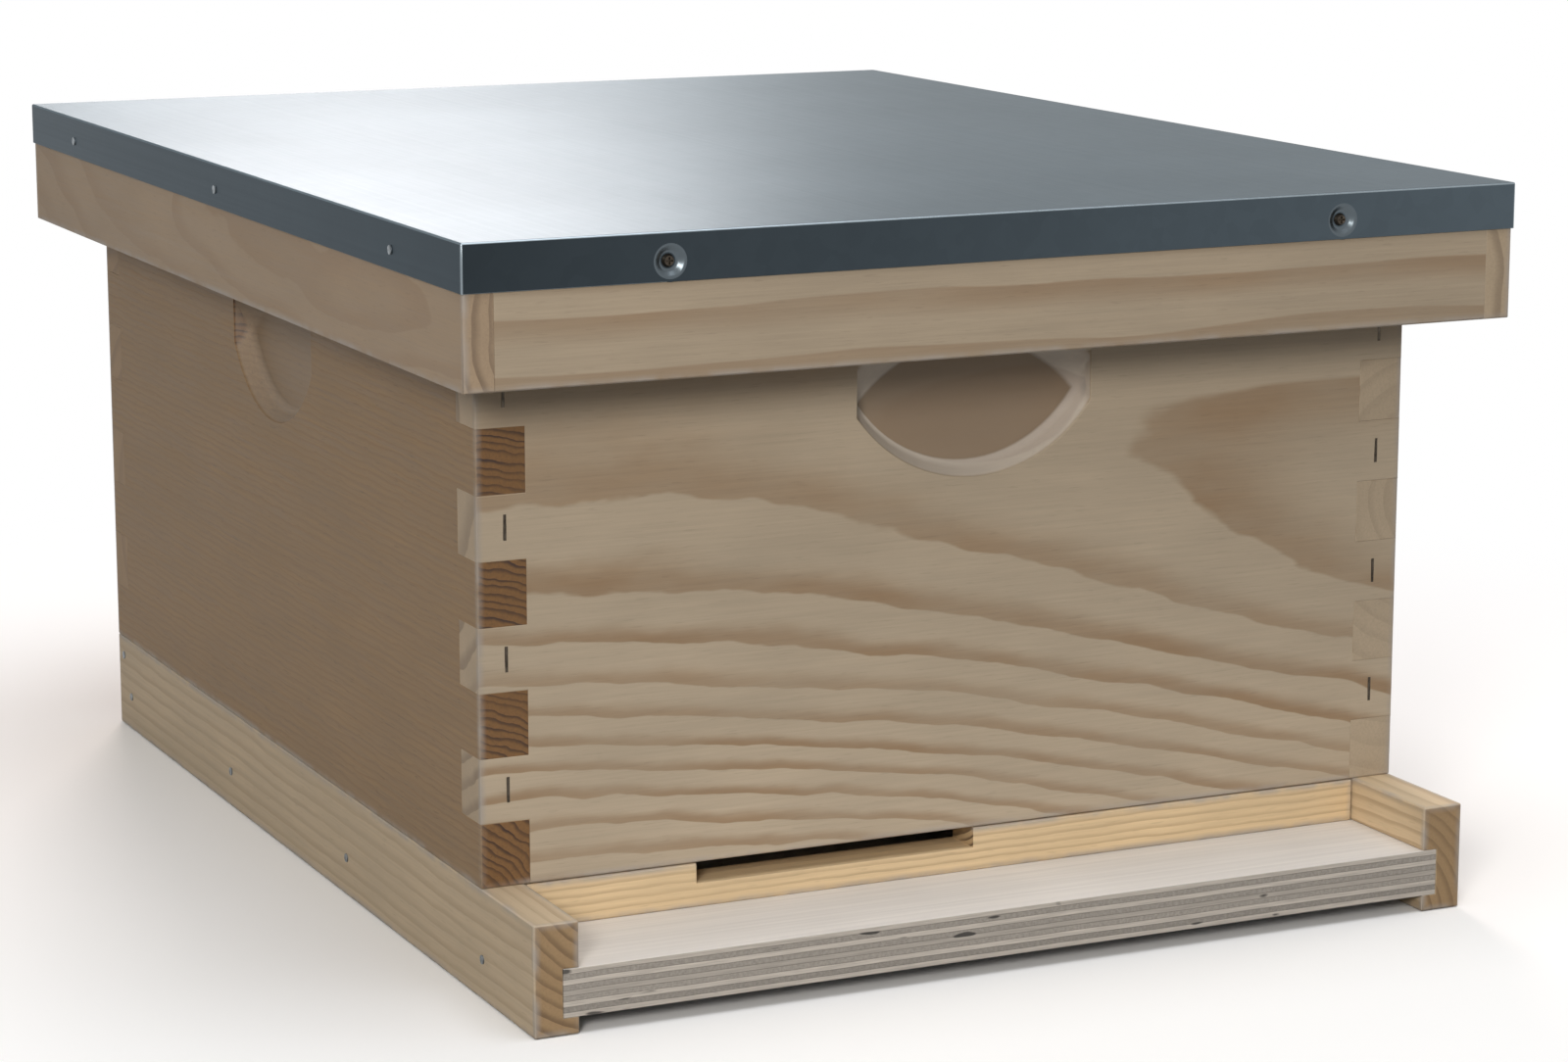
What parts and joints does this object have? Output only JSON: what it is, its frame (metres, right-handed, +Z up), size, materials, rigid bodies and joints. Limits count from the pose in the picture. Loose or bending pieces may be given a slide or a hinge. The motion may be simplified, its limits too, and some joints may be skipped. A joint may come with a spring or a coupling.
{
  "type": "langstroth hive box",
  "caption": "Wooden beehive with a finger-jointed brood box, a floor with a landing board, hanging frames, an inner cover and a metal-covered lid.",
  "frame": {"origin": "middle of the hive's footprint, in the plane that the floor rails stand on", "axes": "+Z up, -Y towards the entrance at the front, +X to the right seen from the front"},
  "size_m": [0.4766, 0.6188, 0.3128],
  "materials": {
    "pine": "planed, unpainted",
    "pale_pine": "planed, unpainted",
    "plywood": "sanded, unpainted",
    "galvanised_steel": "galvanised, satin",
    "fastenings": "bright wire, slightly weathered",
    "wax": "wax-coated, embossed"
  },
  "bodies": {
    "floor": {"rail_left": "pine", "rail_right": "pine", "rear_rail": "pine", "floor_board": "plywood", "floor_nails": "fastenings"},
    "entrance_block": {"entrance_block": "pale_pine"},
    "brood_box": {"front_panel": "pine", "rear_panel": "pine", "left_panel": "pine", "right_panel": "pine", "rest_front": "galvanised_steel", "rest_rear": "galvanised_steel", "rest_nails": "fastenings", "corner_staples": "fastenings"},
    "frame_01": {"frame_01_top_bar": "pale_pine", "frame_01_bars": "pale_pine", "frame_01_foundation": "wax"},
    "frame_02": {"frame_02_top_bar": "pale_pine", "frame_02_bars": "pale_pine", "frame_02_foundation": "wax"},
    "frame_03": {"frame_03_top_bar": "pale_pine", "frame_03_bars": "pale_pine", "frame_03_foundation": "wax"},
    "frame_04": {"frame_04_top_bar": "pale_pine", "frame_04_bars": "pale_pine", "frame_04_foundation": "wax"},
    "frame_05": {"frame_05_top_bar": "pale_pine", "frame_05_bars": "pale_pine", "frame_05_foundation": "wax"},
    "frame_06": {"frame_06_top_bar": "pale_pine", "frame_06_bars": "pale_pine", "frame_06_foundation": "wax"},
    "frame_07": {"frame_07_top_bar": "pale_pine", "frame_07_bars": "pale_pine", "frame_07_foundation": "wax"},
    "frame_08": {"frame_08_top_bar": "pale_pine", "frame_08_bars": "pale_pine", "frame_08_foundation": "wax"},
    "frame_09": {"frame_09_top_bar": "pale_pine", "frame_09_bars": "pale_pine", "frame_09_foundation": "wax"},
    "frame_10": {"frame_10_top_bar": "pale_pine", "frame_10_bars": "pale_pine", "frame_10_foundation": "wax"},
    "inner_cover": {"inner_panel": "plywood", "inner_rim_front": "pale_pine", "inner_rim_rear": "pale_pine", "inner_rim_left": "pale_pine", "inner_rim_right": "pale_pine"},
    "lid": {"lid_rim_front": "pine", "lid_rim_rear": "pine", "lid_rim_left": "pine", "lid_rim_right": "pine", "lid_board": "plywood", "metal_cover": "galvanised_steel", "cover_screws": "fastenings", "cover_nails": "fastenings"}
  },
  "joints": [
    {"name": "entrance_slide", "type": "slide", "parent": "floor", "child": "entrance_block", "axis": [0, -1, 0], "range_m": [0, 0.08]},
    {"name": "box_lift", "type": "slide", "parent": "floor", "child": "brood_box", "axis": [0, 0, 1], "range_m": [0, 0.15]},
    {"name": "frame_01_lift", "type": "slide", "parent": "brood_box", "child": "frame_01", "axis": [0, 0, 1], "range_m": [0, 0.26]},
    {"name": "frame_02_lift", "type": "slide", "parent": "brood_box", "child": "frame_02", "axis": [0, 0, 1], "range_m": [0, 0.26]},
    {"name": "frame_03_lift", "type": "slide", "parent": "brood_box", "child": "frame_03", "axis": [0, 0, 1], "range_m": [0, 0.26]},
    {"name": "frame_04_lift", "type": "slide", "parent": "brood_box", "child": "frame_04", "axis": [0, 0, 1], "range_m": [0, 0.26]},
    {"name": "frame_05_lift", "type": "slide", "parent": "brood_box", "child": "frame_05", "axis": [0, 0, 1], "range_m": [0, 0.26]},
    {"name": "frame_06_lift", "type": "slide", "parent": "brood_box", "child": "frame_06", "axis": [0, 0, 1], "range_m": [0, 0.26]},
    {"name": "frame_07_lift", "type": "slide", "parent": "brood_box", "child": "frame_07", "axis": [0, 0, 1], "range_m": [0, 0.26]},
    {"name": "frame_08_lift", "type": "slide", "parent": "brood_box", "child": "frame_08", "axis": [0, 0, 1], "range_m": [0, 0.26]},
    {"name": "frame_09_lift", "type": "slide", "parent": "brood_box", "child": "frame_09", "axis": [0, 0, 1], "range_m": [0, 0.26]},
    {"name": "frame_10_lift", "type": "slide", "parent": "brood_box", "child": "frame_10", "axis": [0, 0, 1], "range_m": [0, 0.26]},
    {"name": "inner_cover_lift", "type": "slide", "parent": "frame_05", "child": "inner_cover", "axis": [0, 0, 1], "range_m": [0, 0.08]},
    {"name": "lid_lift", "type": "slide", "parent": "inner_cover", "child": "lid", "axis": [0, 0, 1], "range_m": [0, 0.12]}
  ],
  "couplings": [
    {"joint": "frame_01_lift", "follows": "frame_05_lift", "ratio": 1},
    {"joint": "frame_02_lift", "follows": "frame_05_lift", "ratio": 1},
    {"joint": "frame_03_lift", "follows": "frame_05_lift", "ratio": 1},
    {"joint": "frame_04_lift", "follows": "frame_05_lift", "ratio": 1},
    {"joint": "frame_06_lift", "follows": "frame_05_lift", "ratio": 1},
    {"joint": "frame_07_lift", "follows": "frame_05_lift", "ratio": 1},
    {"joint": "frame_08_lift", "follows": "frame_05_lift", "ratio": 1},
    {"joint": "frame_09_lift", "follows": "frame_05_lift", "ratio": 1},
    {"joint": "frame_10_lift", "follows": "frame_05_lift", "ratio": 1}
  ]
}
